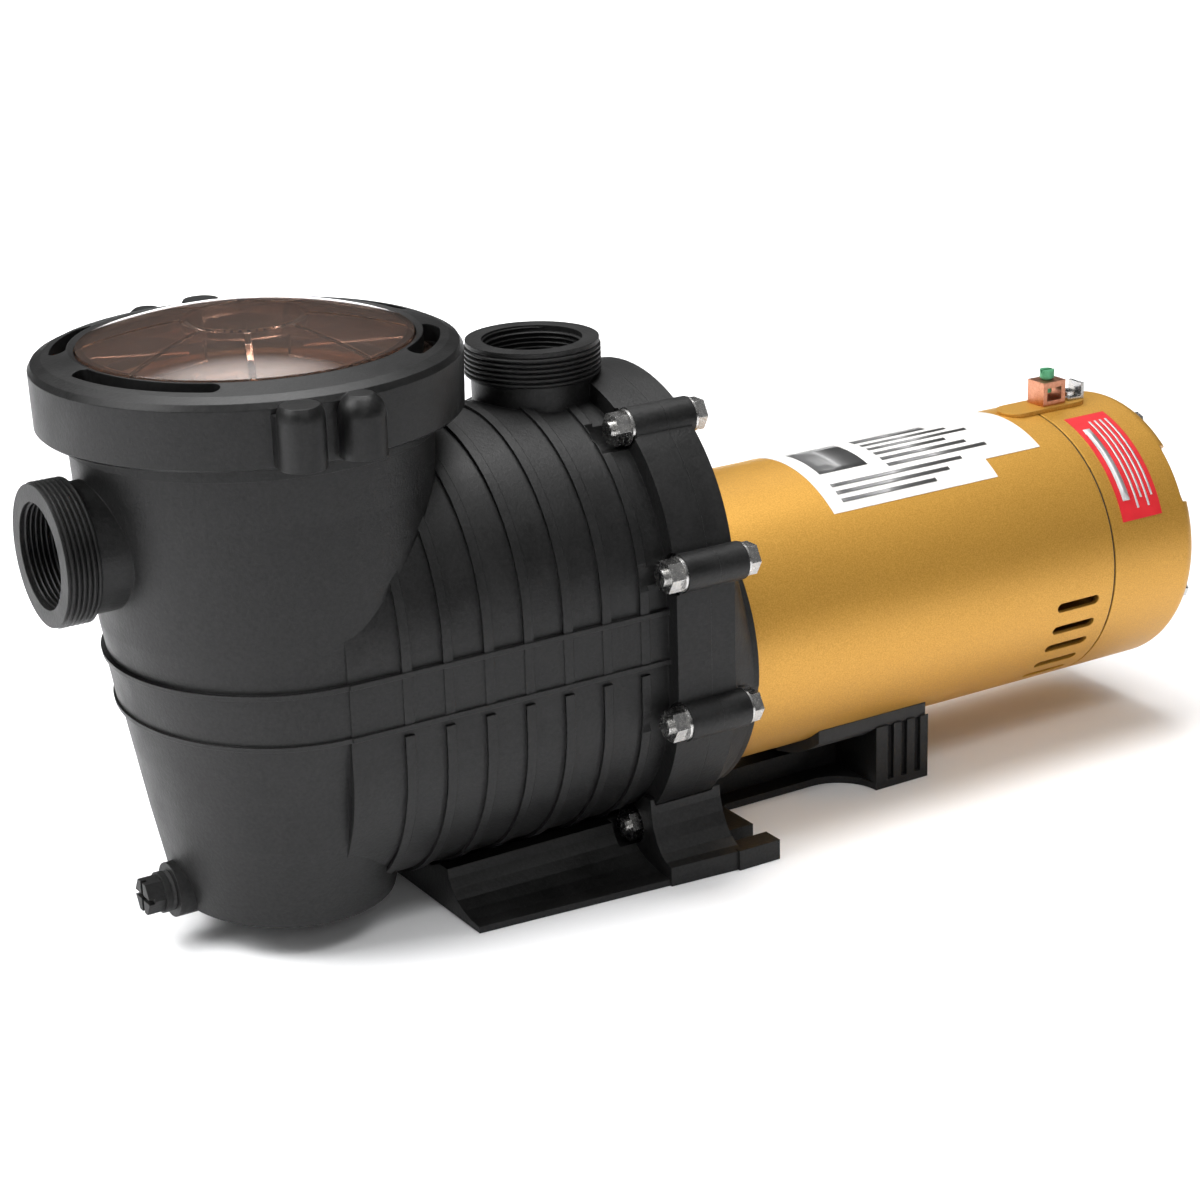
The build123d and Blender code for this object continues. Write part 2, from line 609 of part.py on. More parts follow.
def motor_mount_bolts():
    bolts = []
    for angle in (45, 135, 225, 315):
        bolt = rod_x(4.0, SPLIT_X + 10.5, 76, 0, MOTOR_Z + 50)
        bolt = bolt + hex_x(13.0, SPLIT_X + 3, SPLIT_X + 7.9, 0, MOTOR_Z + 50)
        bolt = bolt + rod_x(4.0, SPLIT_X + 7, SPLIT_X + 11, 0, MOTOR_Z + 50)
        bolts.append(around_motor(bolt, angle))
    return group(bolts)


def capacitor():
    can = rod_x(13.8, 268, 301, 0, MOTOR_Z + 44)
    for y in (-6, 6):
        can = can + rod_x(1.6, 263, 269, y, MOTOR_Z + 44)
    return around_motor(can, -60)


def terminal_board():
    board = block(270, 273, -22, 22, MOTOR_Z + 26, MOTOR_Z + 56)
    for y in (-14, -5, 5, 14):
        board = board + rod_x(2.2, 273, 279, y, MOTOR_Z + 42)
    return around_motor(board, 60)


def centrifugal_switch():
    disc = tube_x(22.0, SHAFT_R + 2, 268, 272)
    for k in range(2):
        arm = block(264, 280, -4, 4, MOTOR_Z + 14, MOTOR_Z + 20)
        disc = disc + around_motor(arm, 180 * k)
    return disc


# ---------------------------------------------------------------- motor fittings
def curved_label(x0, x1, angle0, angle1, thickness):
    """Thin skin on the motor between two angles, counted from +Y over the top."""
    sleeve = tube_x(MOTOR_R + thickness, MOTOR_R, x0, x1)
    steps = 8
    span = math.radians(angle1 - angle0)
    points = [(0, 0)]
    for k in range(steps + 1):
        a = math.radians(angle0) + span * k / steps
        points.append((90 * math.cos(a), 90 * math.sin(a)))
    wedge = extrude(Plane(origin=(x0 - 1, 0, MOTOR_Z), x_dir=(0, 1, 0), z_dir=(1, 0, 0))
                    * make_face(Polyline(*points, close=True)), x1 - x0 + 2)
    return sleeve & wedge


def rating_label():
    return curved_label(128, 224.5, 66, 128.5, 0.25) + curved_label(224.5, 258.5, 66, 118.6, 0.25)


def notice_label():
    return curved_label(285.5, 310.5, 106, 159.5, 0.25)


def bonding_plate():
    plate = block(261, 311, -9, 9, MOTOR_Z + MOTOR_R - 3, MOTOR_Z + MOTOR_R + 1.5)
    plate = fillet(plate.edges().filter_by(Axis.Z), 8.5)
    return plate - rod_x(MOTOR_R, 250, 320)


def ground_lug():
    """Lay-in lug: a copper channel open at its sides."""
    z = MOTOR_Z + MOTOR_R + 1.5
    lug = block(283, 297, -6, 6, z, z + 12)
    return lug - block(285.5, 294.5, -7, 7, z + 2.5, z + 9) - rod_z(2.6, z + 8, z + 13, 290)


def ground_screw():
    z = MOTOR_Z + MOTOR_R + 1.5
    screw = rod_z(2.5, z + 5.5, z + 13, 290) + rod_z(3.6, z + 13, z + 17, 290)
    return screw - block(286, 294, -0.5, 0.5, z + 15.6, z + 18)


def side_lug():
    z = MOTOR_Z + MOTOR_R + 1.5
    return block(300, 310, -5, 5, z, z + 1.6) + block(308.4, 310, -5, 5, z, z + 8)


def side_lug_screw():
    z = MOTOR_Z + MOTOR_R + 3.1
    screw = rod_z(3.6, z, z + 2.4, 304)
    return screw - block(300, 308, -0.5, 0.5, z + 1.4, z + 3)


# ---------------------------------------------------------------- base
def flare_section(half_top, z_top, half_low, lip):
    """Half outline of the base: flat underside, thin lip and a hollow-ground side up to the cradle."""
    side_a = [(half_top, z_top)]
    for k in range(1, 6):
        t = k / 6
        y = half_top + (half_low - half_top) * (1 - math.cos(t * math.pi / 2))
        side_a.append((y, z_top + (lip - z_top) * math.sin(t * math.pi / 2)))
    right = side_a + [(half_low, lip), (half_low, 0)]
    left = [(-y, z) for y, z in reversed(right)]
    return right + left


def flared_block(x0, x1, half_top, z_top, half0, half1, lip):
    faces = []
    for x, half in ((x0, half0), (x1, half1)):
        plane = Plane(origin=(x, 0, 0), x_dir=(0, 1, 0), z_dir=(1, 0, 0))
        faces.append(plane * make_face(Polyline(*flare_section(half_top, z_top, half, lip), close=True)))
    return loft(faces, ruled=True)


def mounting_base():
    """Front saddle, thick flange rest, slotted feet, waisted arm and rear motor foot."""
    base = flared_block(BASE_FRONT_X, BASE_FOOT_X - 18, 42, 20, BASE_HALF_FRONT, BASE_HALF_REAR - 2, 3)
    base = base + flared_block(12, 49, 62, 36, 78, BASE_HALF_REAR - 1, 9)
    base = base + block(46, BASE_FOOT_X, -BASE_HALF_REAR, BASE_HALF_REAR, 0, 9.5)
    base = base + block(46, REAR_FOOT_X0 + 4, -24, 24, 0, 3.5) + block(46, REAR_FOOT_X0 + 4, -13, 13, 0, 14.5)
    for side in (-1, 1):
        for x, reach in ((BASE_FOOT_X, 30), (REAR_FOOT_X0, 22)):
            toe = block(x - reach, x + reach, side * 24 - 22, side * 24 + 22, 0, 3.5)
            cut_x = x + reach if x == BASE_FOOT_X else x - reach
            base = base + (toe - rod_z(reach, -1, 5, cut_x, side * 46))
    base = base + block(REAR_FOOT_X0, REAR_FOOT_X1, -46, 46, 0, 34)
    for side in (-1, 1):
        slot = block(52, BASE_FOOT_X + 2, side * 66 - 5.2, side * 66 + 5.2, -1, 12)
        base = base - slot - rod_z(5.2, -1, 12, 52, side * 66)
        for x in (157, 165, 173):
            base = base - block(x, x + 3.4, side * 46 - 2.2, side * 46 + 2.2, 4, 40)
    base = base - rod_x(MOTOR_R + 5.2, 100, REAR_FOOT_X1 + 2)
    base = base - obround(BARREL_R + RIB_PROUD + 0.3, POT_X, BARREL_END_X)
    base = base - obround(FLANGE_R + 0.3, BARREL_END_X - 0.3, PLATE_FLANGE_END_X + 0.3)
    base = base - rod_x(FLANGE_R - 0.5, PLATE_FLANGE_END_X, MOTOR_FRONT_X + 0.5)
    base = base - pot_shell(0.5)
    for y, z in bolt_places():
        base = base - rod_x(LUG_R + 0.8, 4.0, MOTOR_FRONT_X, y, z)
    return base


def motor_pad():
    """Rubber cushion bent round the underside of the motor."""
    pad = tube_x(MOTOR_R + 5.0, MOTOR_R + 0.05, 117, REAR_FOOT_X1 - 1)
    return pad & block(116, REAR_FOOT_X1, -45, 45, 0, MOTOR_Z - 20)


NODES = (
    pump_body, seal_plate, housing_o_ring, flange_bolts, flange_nuts, flange_washers,
    lock_ring, strainer_lid, lid_o_ring, strainer_basket, basket_handle, drain_plug, drain_o_ring,
    diffuser, impeller, impeller_screw, seal_seat, seal_head, seal_spring,
    motor_shaft, front_bearing, rear_bearing, rotor_core, stator_core, stator_windings,
    motor_shell, front_end_bell, rear_end_bell, seam_ring, cooling_fan, through_bolts, motor_mount_bolts,
    capacitor, terminal_board, centrifugal_switch,
    rating_label, notice_label, bonding_plate, ground_lug, ground_screw, side_lug, side_lug_screw,
    mounting_base, motor_pad,
)


def main():
    os.makedirs("parts", exist_ok=True)
    for make in NODES:
        print("making", make.__name__, flush=True)
        export_step(make(), f"parts/{make.__name__}.step")


main()
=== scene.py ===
"""Looks of the pool pump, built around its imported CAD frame. Metres, +Z up."""
import json
import math

import bpy
import bmesh
from mathutils import Matrix, Vector


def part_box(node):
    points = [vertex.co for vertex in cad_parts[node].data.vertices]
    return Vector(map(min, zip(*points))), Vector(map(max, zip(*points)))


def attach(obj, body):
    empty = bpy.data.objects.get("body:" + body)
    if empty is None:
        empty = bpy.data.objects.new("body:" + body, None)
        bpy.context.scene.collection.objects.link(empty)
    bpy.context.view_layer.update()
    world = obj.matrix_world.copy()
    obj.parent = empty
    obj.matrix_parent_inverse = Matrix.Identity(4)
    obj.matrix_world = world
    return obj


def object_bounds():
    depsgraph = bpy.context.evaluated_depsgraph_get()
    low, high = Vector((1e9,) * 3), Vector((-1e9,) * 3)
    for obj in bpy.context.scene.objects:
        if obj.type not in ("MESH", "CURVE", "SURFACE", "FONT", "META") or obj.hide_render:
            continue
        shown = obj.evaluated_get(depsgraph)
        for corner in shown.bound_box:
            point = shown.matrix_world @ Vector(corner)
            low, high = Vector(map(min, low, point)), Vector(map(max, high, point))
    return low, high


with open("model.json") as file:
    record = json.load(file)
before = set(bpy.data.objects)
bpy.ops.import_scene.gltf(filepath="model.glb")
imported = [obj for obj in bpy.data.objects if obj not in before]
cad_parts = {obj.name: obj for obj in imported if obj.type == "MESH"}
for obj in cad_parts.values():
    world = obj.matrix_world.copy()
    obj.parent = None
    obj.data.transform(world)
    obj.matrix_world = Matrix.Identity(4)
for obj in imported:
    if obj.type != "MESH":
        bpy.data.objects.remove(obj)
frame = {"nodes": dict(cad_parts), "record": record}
CAD_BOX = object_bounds()
NODES = frame["nodes"]
MOUNTS = {m["name"]: m for m in frame["record"]["mounts"]}

# ---------------------------------------------------------------- places read from the frame
SHAFT = Vector(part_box("motor_shaft")[0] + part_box("motor_shaft")[1]) / 2
MOTOR_Z = SHAFT.z
SHELL_LOW, SHELL_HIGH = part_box("motor_shell")
MOTOR_R = (SHELL_HIGH.z - SHELL_LOW.z) / 2
POT_X = (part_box("strainer_lid")[0].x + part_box("strainer_lid")[1].x) / 2
PORT_BORE_R = MOUNTS["suction_port"]["dims"]["r_mm"] / 1000
FLOOR_Z = CAD_BOX[0].z

# ---------------------------------------------------------------- sizes of the added pieces
THREAD_DEPTH = 0.0011
THREAD_PITCH = 0.0022
THREAD_LENGTH = 0.02
THREAD_START = 0.0012  # how far the first turn lies inside the mouth
THREAD_BURIED = 0.0001  # how far the ridge's foot reaches into the wall
THREAD_LEAST = 0.00005  # height left where the ridge fades out
THREAD_STEPS = 72  # points in one turn
FOOT_HALF = 0.42  # half the ridge's width at its foot, in pitches
CREST_HALF = 0.08  # half the ridge's width at its crest, in pitches
PRINT_LIFT = 0.00042  # printed bars stand clear of the label film under them
PRINT_THICK = 0.00004

# ---------------------------------------------------------------- view and studio
LENS_MM = 82.27
SENSOR_MM = 36.0
VIEW_END = 20.0
VIEW_YAW, VIEW_PITCH, VIEW_ROLL = (math.radians(angle) for angle in (58.638, 19.556, -1.74))
VIEW_PLACE = Vector((POT_X - 0.4481, -1.0070, MOTOR_Z + 0.4397))
FLOOR_HALF = 6.0
FLOOR_GAP = 0.0002


# ---------------------------------------------------------------- node tree helpers
def new_material(name):
    material = bpy.data.materials.new(name)
    material.use_nodes = True
    nodes = material.node_tree.nodes
    return material, nodes, material.node_tree.links, nodes["Principled BSDF"]


def texture_space(nodes, links, scale):
    """Object coordinates stretched by a scale for each axis."""
    coords = nodes.new("ShaderNodeTexCoord")
    mapping = nodes.new("ShaderNodeMapping")
    mapping.inputs["Scale"].default_value = scale
    links.new(coords.outputs["Object"], mapping.inputs["Vector"])
    return mapping.outputs["Vector"]


def noise(nodes, links, space, scale, detail=4.0, rough=0.6):
    texture = nodes.new("ShaderNodeTexNoise")
    texture.inputs["Scale"].default_value = scale
    texture.inputs["Detail"].default_value = detail
    texture.inputs["Roughness"].default_value = rough
    links.new(space, texture.inputs["Vector"])
    return texture.outputs["Fac"]


def ramp(nodes, links, value, stops):
    """Colour ramp through (position, colour) stops."""
    node = nodes.new("ShaderNodeValToRGB")
    elements = node.color_ramp.elements
    while len(elements) < len(stops):
        elements.new(0.5)
    for element, (position, colour) in zip(elements, stops):
        element.position = position
        element.color = (*colour, 1.0)
    links.new(value, node.inputs["Fac"])
    return node.outputs["Color"]


def grey(value):
    return (value, value, value)


def rounded_bump(nodes, links, principled, height, strength, distance, edge=0.0006):
    """Surface grain on normals that are softened along edges."""
    bevel = nodes.new("ShaderNodeBevel")
    bevel.samples = 4
    bevel.inputs["Radius"].default_value = edge
    bump = nodes.new("ShaderNodeBump")
    bump.inputs["Strength"].default_value = strength
    bump.inputs["Distance"].default_value = distance
    links.new(height, bump.inputs["Height"])
    links.new(bevel.outputs["Normal"], bump.inputs["Normal"])
    links.new(bump.outputs["Normal"], principled.inputs["Normal"])


# ---------------------------------------------------------------- materials
def moulded_black(name, dark=0.0015, light=0.012, rough_low=0.40, rough_high=0.56, grain=0.65):
    """Glass-filled black moulding: speckled fibres, cloudy sheen and fine grain."""
    material, nodes, links, principled = new_material(name)
    space = texture_space(nodes, links, (1, 1, 1))
    speckle = noise(nodes, links, space, 620.0, 3.0, 0.7)
    cloud = noise(nodes, links, space, 38.0, 5.0, 0.6)
    mix = nodes.new("ShaderNodeMath")
    mix.operation = "MULTIPLY_ADD"
    mix.inputs[1].default_value = 0.55
    links.new(speckle, mix.inputs[0])
    half = nodes.new("ShaderNodeMath")
    half.operation = "MULTIPLY"
    half.inputs[1].default_value = 0.45
    links.new(cloud, half.inputs[0])
    links.new(half.outputs[0], mix.inputs[2])
    colour = ramp(nodes, links, mix.outputs[0], ((0.36, grey(dark)), (0.66, grey(light))))
    links.new(colour, principled.inputs["Base Color"])
    rough = ramp(nodes, links, cloud, ((0.3, grey(rough_low)), (0.7, grey(rough_high))))
    links.new(rough, principled.inputs["Roughness"])
    principled.inputs["Specular IOR Level"].default_value = 0.30
    rounded_bump(nodes, links, principled, speckle, grain, 0.00025)
    return material


def gold_paint(name):
    """Satin metallic gold with fine flake and a slight orange-peel."""
    material, nodes, links, principled = new_material(name)
    space = texture_space(nodes, links, (1, 1, 1))
    flake = noise(nodes, links, space, 1600.0, 2.0, 0.5)
    peel = noise(nodes, links, space, 260.0, 2.0, 0.5)
    colour = ramp(nodes, links, flake, ((0.3, (0.50, 0.255, 0.035)), (0.7, (0.66, 0.36, 0.065))))
    links.new(colour, principled.inputs["Base Color"])
    rough = ramp(nodes, links, flake, ((0.3, grey(0.40)), (0.7, grey(0.52))))
    links.new(rough, principled.inputs["Roughness"])
    principled.inputs["Metallic"].default_value = 0.62
    principled.inputs["Coat Weight"].default_value = 0.15
    principled.inputs["Coat Roughness"].default_value = 0.25
    rounded_bump(nodes, links, principled, peel, 0.12, 0.0001, 0.0008)
    return material


def bright_metal(name, low, high, rough=(0.16, 0.34), stretch=(1, 1, 1), scale=500.0, metallic=1.0):
    """Plated or drawn metal: streaked roughness and a little tarnish."""
    material, nodes, links, principled = new_material(name)
    space = texture_space(nodes, links, stretch)
    streak = noise(nodes, links, space, scale, 4.0, 0.65)
    links.new(ramp(nodes, links, streak, ((0.3, low), (0.7, high))), principled.inputs["Base Color"])
    links.new(ramp(nodes, links, streak, ((0.3, grey(rough[0])), (0.7, grey(rough[1])))),
              principled.inputs["Roughness"])
    principled.inputs["Metallic"].default_value = metallic
    rounded_bump(nodes, links, principled, streak, 0.05, 0.00005, 0.00025)
    return material


def soft_rubber(name, tone=0.016):
    """Matt dark rubber or carbon with a dusty mottle."""
    material, nodes, links, principled = new_material(name)
    space = texture_space(nodes, links, (1, 1, 1))
    dust = noise(nodes, links, space, 240.0, 5.0, 0.7)
    links.new(ramp(nodes, links, dust, ((0.35, grey(tone)), (0.75, grey(tone * 2.2)))),
              principled.inputs["Base Color"])
    links.new(ramp(nodes, links, dust, ((0.3, grey(0.6)), (0.7, grey(0.8)))), principled.inputs["Roughness"])
    rounded_bump(nodes, links, principled, dust, 0.3, 0.0002)
    return material


def smoked_clear(name):
    """Smoked polycarbonate: tinted, slightly cloudy, with faint moulding ripple."""
    material, nodes, links, principled = new_material(name)
    space = texture_space(nodes, links, (1, 1, 1))
    ripple = noise(nodes, links, space, 26.0, 2.0, 0.5)
    links.new(ramp(nodes, links, ripple, ((0.3, (0.66, 0.46, 0.37)), (0.7, (0.74, 0.55, 0.46)))),
              principled.inputs["Base Color"])
    links.new(ramp(nodes, links, ripple, ((0.3, grey(0.02)), (0.7, grey(0.07)))),
              principled.inputs["Roughness"])
    principled.inputs["Transmission Weight"].default_value = 0.97
    principled.inputs["IOR"].default_value = 1.35
    rounded_bump(nodes, links, principled, ripple, 0.05, 0.0004, 0.0008)
    return material


def plain_moulding(name, low, high, rough=(0.4, 0.6)):
    """Plain moulded or pressed material with a fine grain."""
    material, nodes, links, principled = new_material(name)
    space = texture_space(nodes, links, (1, 1, 1))
    grain = noise(nodes, links, space, 420.0, 4.0, 0.6)
    links.new(ramp(nodes, links, grain, ((0.3, low), (0.7, high))), principled.inputs["Base Color"])
    links.new(ramp(nodes, links, grain, ((0.3, grey(rough[0])), (0.7, grey(rough[1])))),
              principled.inputs["Roughness"])
    rounded_bump(nodes, links, principled, grain, 0.2, 0.0002)
    return material


def laminations(name):
    """Stacked core steel: thin sheets across the shaft."""
    material, nodes, links, principled = new_material(name)
    space = texture_space(nodes, links, (1, 1, 1))
    wave = nodes.new("ShaderNodeTexWave")
    wave.bands_direction = "X"
    wave.inputs["Scale"].default_value = 320.0
    wave.inputs["Distortion"].default_value = 0.4
    links.new(space, wave.inputs["Vector"])
    links.new(ramp(nodes, links, wave.outputs["Fac"], ((0.2, grey(0.10)), (0.8, grey(0.34)))),
              principled.inputs["Base Color"])
    principled.inputs["Metallic"].default_value = 0.9
    principled.inputs["Roughness"].default_value = 0.45
    rounded_bump(nodes, links, principled, wave.outputs["Fac"], 0.4, 0.0003)
    return material


def wound_copper(name):
    """Varnished windings: rings of wire around the shaft."""
    material, nodes, links, principled = new_material(name)
    space = texture_space(nodes, links, (1, 1, 1))
    wave = nodes.new("ShaderNodeTexWave")
    wave.wave_type = "RINGS"
    wave.rings_direction = "X"
    wave.inputs["Scale"].default_value = 260.0
    wave.inputs["Distortion"].default_value = 3.0
    links.new(space, wave.inputs["Vector"])
    links.new(ramp(nodes, links, wave.outputs["Fac"], ((0.2, (0.22, 0.07, 0.02)), (0.8, (0.62, 0.26, 0.09)))),
              principled.inputs["Base Color"])
    principled.inputs["Metallic"].default_value = 0.8
    principled.inputs["Roughness"].default_value = 0.35
    rounded_bump(nodes, links, principled, wave.outputs["Fac"], 0.8, 0.0006)
    return material


def label_film(name, ground, shade):
    """Satin printed film with a faint mottle."""
    material, nodes, links, principled = new_material(name)
    space = texture_space(nodes, links, (1, 1, 1))
    mottle = noise(nodes, links, space, 90.0, 4.0, 0.5)
    links.new(ramp(nodes, links, mottle, ((0.3, shade), (0.7, ground))), principled.inputs["Base Color"])
    links.new(ramp(nodes, links, mottle, ((0.3, grey(0.28)), (0.7, grey(0.4)))),
              principled.inputs["Roughness"])
    principled.inputs["Coat Weight"].default_value = 0.3
    rounded_bump(nodes, links, principled, mottle, 0.05, 0.0001, 0.0002)
    return material


BLACK = moulded_black("moulded_black")
BLACK_RING = moulded_black("moulded_black_ring", 0.0015, 0.010, 0.36, 0.50, 0.45)
GOLD = gold_paint("gold_paint")
ZINC = bright_metal("bright_zinc", grey(0.42), (0.60, 0.59, 0.57), (0.20, 0.32))
STEEL = bright_metal("turned_steel", grey(0.40), grey(0.62), (0.22, 0.4), (60, 1, 1), 40.0)
CAST = bright_metal("cast_aluminium", grey(0.35), grey(0.5), (0.45, 0.65), (1, 1, 1), 220.0, 0.8)
COPPER = bright_metal("lug_copper", (0.50, 0.20, 0.11), (0.74, 0.38, 0.25), (0.25, 0.42))
GREEN = bright_metal("green_finish", (0.05, 0.26, 0.12), (0.12, 0.42, 0.22), (0.3, 0.45), (1, 1, 1), 300.0,
                     0.4)
RUBBER = soft_rubber("soft_rubber")
SMOKE = smoked_clear("smoked_clear")
BASKET = plain_moulding("basket_resin", (0.20, 0.14, 0.085), (0.29, 0.21, 0.13), (0.35, 0.5))
CERAMIC = plain_moulding("seal_ceramic", (0.78, 0.76, 0.7), (0.88, 0.86, 0.8), (0.12, 0.2))
CARBON = soft_rubber("seal_carbon", 0.02)
PHENOLIC = plain_moulding("phenolic_board", (0.16, 0.09, 0.04), (0.28, 0.17, 0.09))
CAN = plain_moulding("capacitor_can", grey(0.012), grey(0.03), (0.2, 0.3))
CORE = laminations("core_laminations")
WIRE = wound_copper("wound_copper")
LABEL = label_film("label_white", (0.80, 0.79, 0.77), (0.72, 0.71, 0.69))
NOTICE = label_film("label_red", (0.66, 0.022, 0.030), (0.56, 0.015, 0.022))
PRINT = label_film("label_print", grey(0.30), grey(0.22))
PRINT_WHITE = label_film("label_print_white", grey(0.85), grey(0.75))

LOOKS = {
    BLACK: ("pump_body", "seal_plate", "mounting_base", "diffuser", "impeller", "cooling_fan", "drain_plug"),
    BLACK_RING: ("lock_ring",),
    GOLD: ("motor_shell", "rear_end_bell", "bonding_plate"),
    ZINC: ("flange_bolts", "flange_nuts", "flange_washers", "through_bolts", "motor_mount_bolts", "side_lug",
           "side_lug_screw", "impeller_screw"),
    STEEL: ("motor_shaft", "front_bearing", "rear_bearing", "seal_spring"),
    CAST: ("front_end_bell",),
    COPPER: ("ground_lug",),
    GREEN: ("ground_screw",),
    RUBBER: ("housing_o_ring", "lid_o_ring", "drain_o_ring", "motor_pad", "seam_ring"),
    SMOKE: ("strainer_lid",),
    BASKET: ("strainer_basket", "basket_handle"),
    CERAMIC: ("seal_seat",),
    CARBON: ("seal_head",),
    PHENOLIC: ("terminal_board", "centrifugal_switch"),
    CAN: ("capacitor",),
    CORE: ("rotor_core", "stator_core"),
    WIRE: ("stator_windings",),
    LABEL: ("rating_label",),
    NOTICE: ("notice_label",),
}
for look, names in LOOKS.items():
    for node_name in names:
        mesh = NODES[node_name].data
        mesh.materials.clear()
        mesh.materials.append(look)


# ---------------------------------------------------------------- mesh helpers
def piece_from(bm, name, look, body):
    mesh = bpy.data.meshes.new(name)
    bm.normal_update()
    bm.to_mesh(mesh)
    bm.free()
    piece = bpy.data.objects.new(name, mesh)
    bpy.context.scene.collection.objects.link(piece)
    mesh.materials.append(look)
    for face in mesh.polygons:
        face.use_smooth = True
    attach(piece, body)
    return piece


def helix_ridge(name, centre, outward, radius, body, look):
    """Internal thread: a ridge with a narrow flat crest, standing inwards from the wall of a bore."""
    bm = bmesh.new()
    outward = Vector(outward).normalized()
    side = outward.orthogonal().normalized()
    other = outward.cross(side)
    previous = None
    total = int(THREAD_STEPS * (THREAD_LENGTH / THREAD_PITCH))
    for index in range(total + 1):
        angle = 2 * math.pi * index / THREAD_STEPS
        along = -THREAD_START - THREAD_LENGTH * index / total
        fade = min(1.0, index / THREAD_STEPS * 2, (total - index) / THREAD_STEPS * 2)
        radial = side * math.cos(angle) + other * math.sin(angle)
        base = Vector(centre) + outward * along
        wall = radius + THREAD_BURIED
        crest = radius - max(THREAD_DEPTH * fade, THREAD_LEAST)
        section = [
            bm.verts.new(base + radial * wall + outward * THREAD_PITCH * FOOT_HALF),
            bm.verts.new(base + radial * crest + outward * THREAD_PITCH * CREST_HALF),
            bm.verts.new(base + radial * crest - outward * THREAD_PITCH * CREST_HALF),
            bm.verts.new(base + radial * wall - outward * THREAD_PITCH * FOOT_HALF),
        ]
        if previous:
            for k in range(4):
                n = (k + 1) % 4
                bm.faces.new((previous[k], previous[n], section[n], section[k]))
        else:
            bm.faces.new(section)
        previous = section
    bm.faces.new(reversed(previous))
    bmesh.ops.recalc_face_normals(bm, faces=bm.faces)
    return piece_from(bm, name, look, body)


def motor_point(x, angle, radius):
    """Point on the motor, the angle counted from +Y over the top."""
    return Vector((x, radius * math.cos(angle), MOTOR_Z + radius * math.sin(angle)))


def curved_bar(bm, x0, x1, degrees0, degrees1, steps=8):
    """Thin closed printed strip that follows the motor's surface."""
    radius = MOTOR_R + PRINT_LIFT
    angle0, angle1 = math.radians(degrees0), math.radians(degrees1)
    rows = []
    for k in range(steps + 1):
        angle = angle0 + (angle1 - angle0) * k / steps
        rows.append([
            bm.verts.new(motor_point(x0, angle, radius)),
            bm.verts.new(motor_point(x1, angle, radius)),
            bm.verts.new(motor_point(x1, angle, radius + PRINT_THICK)),
            bm.verts.new(motor_point(x0, angle, radius + PRINT_THICK)),
        ])
    for a, b in zip(rows, rows[1:]):
        for k in range(4):
            n = (k + 1) % 4
            bm.faces.new((a[k], a[n], b[n], b[k]))
    bm.faces.new(rows[0])
    bm.faces.new(reversed(rows[-1]))


# ---------------------------------------------------------------- added pieces
def port_threads():
    """Ridges of the pipe threads inside the two ports."""
    for name in ("suction_port", "discharge_port"):
        mount = MOUNTS[name]
        helix_ridge(name + "_thread", mount["pos_m"], mount["axis"], PORT_BORE_R,
                    "root", BLACK)


def label_bars():
    """Generic printed bars on the two labels, standing for columns of small print."""
    low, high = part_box("rating_label")
    bm = bmesh.new()
    rows = ((84, 88), (91, 93), (95.5, 97.5), (100, 102), (104.5, 106.5), (109, 111))
    for index, (a0, a1) in enumerate(rows):
        reach = 0.60 + 0.12 * ((index * 37) % 3)
        curved_bar(bm, low.x + 0.045, low.x + 0.045 + (high.x - low.x - 0.06) * reach, a0, a1)
    for index in range(3):
        a0 = 114 + index * 4.2
        curved_bar(bm, low.x + 0.008, low.x + 0.085 - 0.011 * index, a0, a0 + 1.8)
    curved_bar(bm, low.x + 0.008, low.x + 0.036, 84, 107)
    bmesh.ops.recalc_face_normals(bm, faces=bm.faces)
    piece_from(bm, "rating_label_print", PRINT, "root")

    low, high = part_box("notice_label")
    bm = bmesh.new()
    curved_bar(bm, low.x + 0.003, low.x + 0.0075, 115, 151)
    for index in range(4):
        x0 = low.x + 0.0105 + index * 0.0034
        curved_bar(bm, x0, x0 + 0.0013, 111, 155 - 4 * (index % 2))
    bmesh.ops.recalc_face_normals(bm, faces=bm.faces)
    piece_from(bm, "notice_label_print", PRINT_WHITE, "root")


port_threads()
label_bars()


# ---------------------------------------------------------------- camera, floor, sky and lamps
def matrix_from(yaw, pitch, roll, place):
    """Camera matrix: yaw from +X towards +Y, pitch below the horizon, then roll about the view."""
    ahead = Vector((math.cos(yaw) * math.cos(pitch), math.sin(yaw) * math.cos(pitch), -math.sin(pitch)))
    right = Vector((math.sin(yaw), -math.cos(yaw), 0))
    up = right.cross(ahead)
    right, up = (right * math.cos(roll) + up * math.sin(roll), up * math.cos(roll) - right * math.sin(roll))
    rotation = Matrix((right, up, -ahead)).transposed().to_4x4()
    return Matrix.Translation(place) @ rotation


def camera():
    data = bpy.data.cameras.new("camera")
    data.sensor_width = SENSOR_MM
    data.lens = LENS_MM
    data.clip_end = VIEW_END
    view = bpy.data.objects.new("camera", data)
    view.matrix_world = matrix_from(VIEW_YAW, VIEW_PITCH, VIEW_ROLL, VIEW_PLACE)
    bpy.context.scene.collection.objects.link(view)
    bpy.context.scene.camera = view


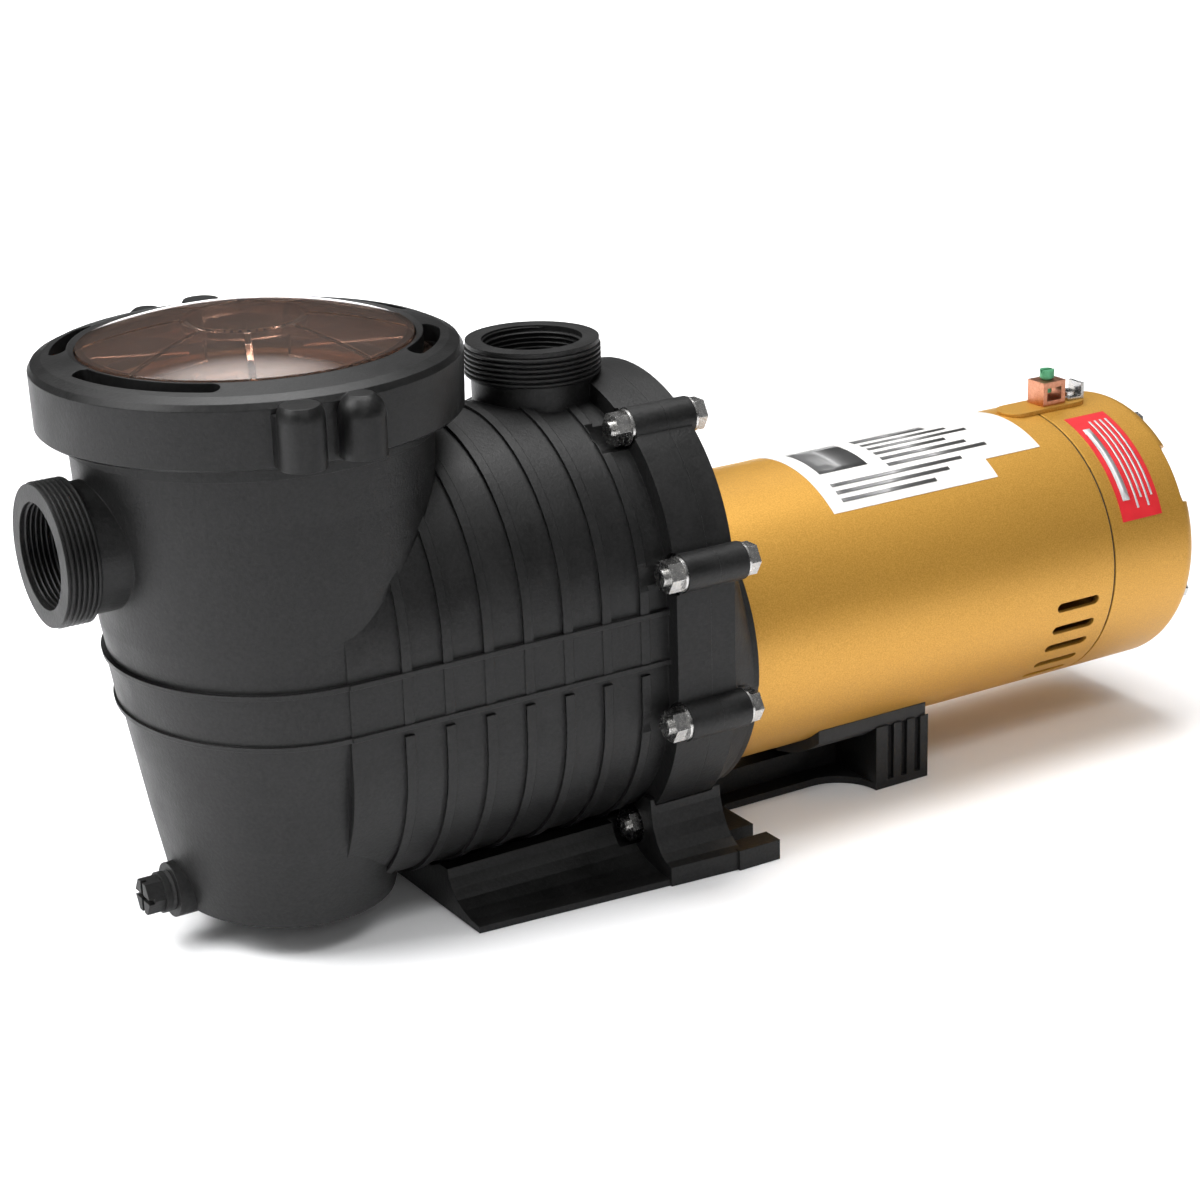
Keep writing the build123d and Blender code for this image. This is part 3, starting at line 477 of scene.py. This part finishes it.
def area_light(name, place, target, size, power, spread=180):
    data = bpy.data.lights.new(name, "AREA")
    data.shape = "RECTANGLE"
    data.size, data.size_y = size
    data.energy = power
    data.spread = math.radians(spread)
    lamp = bpy.data.objects.new(name, data)
    lamp.location = place
    lamp.rotation_euler = (Vector(target) - Vector(place)).to_track_quat("-Z", "Y").to_euler()
    bpy.context.scene.collection.objects.link(lamp)


def white_floor():
    material, _, _, principled = new_material("floor_white")
    principled.inputs["Base Color"].default_value = (0.93, 0.93, 0.94, 1)
    principled.inputs["Roughness"].default_value = 0.7
    bm = bmesh.new()
    bmesh.ops.create_grid(bm, x_segments=1, y_segments=1, size=FLOOR_HALF)
    mesh = bpy.data.meshes.new("floor")
    bm.to_mesh(mesh)
    bm.free()
    floor = bpy.data.objects.new("floor", mesh)
    floor.location = (0, 0, FLOOR_Z - FLOOR_GAP)
    mesh.materials.append(material)
    bpy.context.scene.collection.objects.link(floor)


def dim_sky():
    """Sky that is dark at the horizon and soft grey overhead."""
    world = bpy.data.worlds.new("studio")
    world.use_nodes = True
    nodes, links = world.node_tree.nodes, world.node_tree.links
    coords = nodes.new("ShaderNodeTexCoord")
    split = nodes.new("ShaderNodeSeparateXYZ")
    links.new(coords.outputs["Generated"], split.inputs["Vector"])
    sky = ramp(nodes, links, split.outputs["Z"], ((0.0, grey(0.03)), (0.25, grey(0.07)), (0.9, grey(0.40))))
    links.new(sky, nodes["Background"].inputs["Color"])
    nodes["Background"].inputs["Strength"].default_value = 1.0
    bpy.context.scene.world = world
    bpy.context.scene.view_settings.view_transform = "Standard"


def lamps():
    area_light("top_softbox", (0.1, 0.1, 1.35), (0.05, 0, 0.1), (0.9, 0.6), 17.0)
    area_light("floor_wash_left", (-1.7, 0.3, 1.6), (-1.1, 0.1, 0), (1.2, 1.2), 20.0, 80)
    area_light("floor_wash_front", (-0.3, -1.2, 1.6), (-0.3, -0.9, 0), (1.6, 0.6), 7.0, 70)
    area_light("floor_wash_back", (0.9, 2.3, 2.2), (0.9, 2.1, 0), (2.6, 1.8), 70.0, 90)
    area_light("near_softbox", (-0.3, -1.6, 0.9), (0.0, 0, 0.12), (1.2, 0.4), 2.6)
    area_light("front_rim", (-1.5, -0.2, 0.7), (-0.1, 0, 0.15), (0.2, 0.9), 2.6)


camera()
white_floor()
dim_sky()
lamps()
